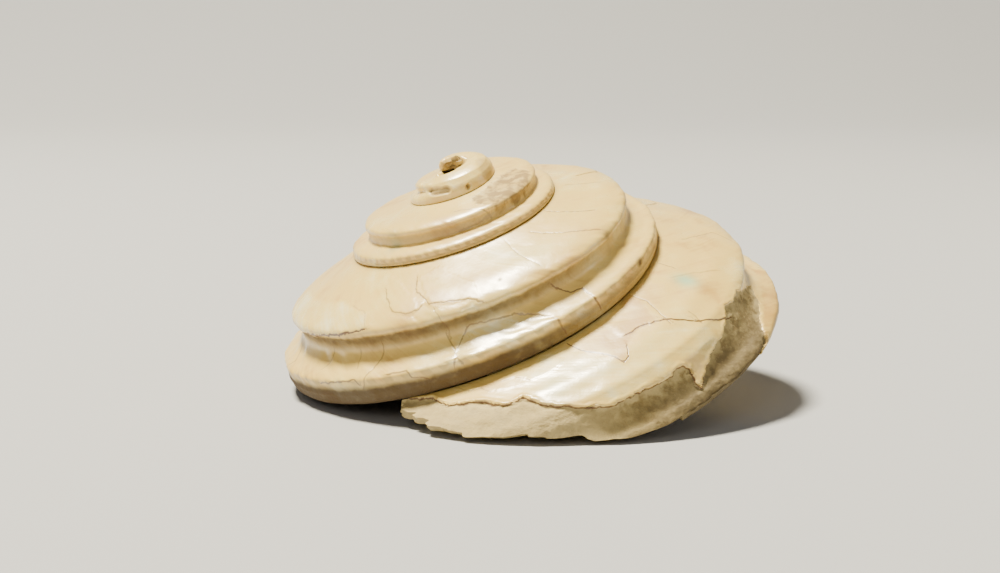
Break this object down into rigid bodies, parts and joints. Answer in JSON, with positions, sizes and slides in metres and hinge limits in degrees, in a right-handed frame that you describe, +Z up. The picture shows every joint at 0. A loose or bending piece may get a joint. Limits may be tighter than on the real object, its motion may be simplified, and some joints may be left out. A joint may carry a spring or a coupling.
{
  "type": "turban_shell",
  "caption": "Worn turban shell lying on its base: low spire, spiral keels on every whorl, broken lip, flaking cream mother-of-pearl over a chalky grey-brown layer",
  "frame": {"origin": "centre of the shell's bounding box, at the level it rests on", "axes": "+X to the side where the last whorl is widest and stands clear of the ground, -Y to the broken lip, +Z up"},
  "size_m": [0.0798, 0.082, 0.0396],
  "materials": {
    "nacre": "satin mother-of-pearl, cream to tan, flaking to a dull chalky layer"
  },
  "bodies": {
    "root": {"shell": "nacre"}
  },
  "joints": []
}
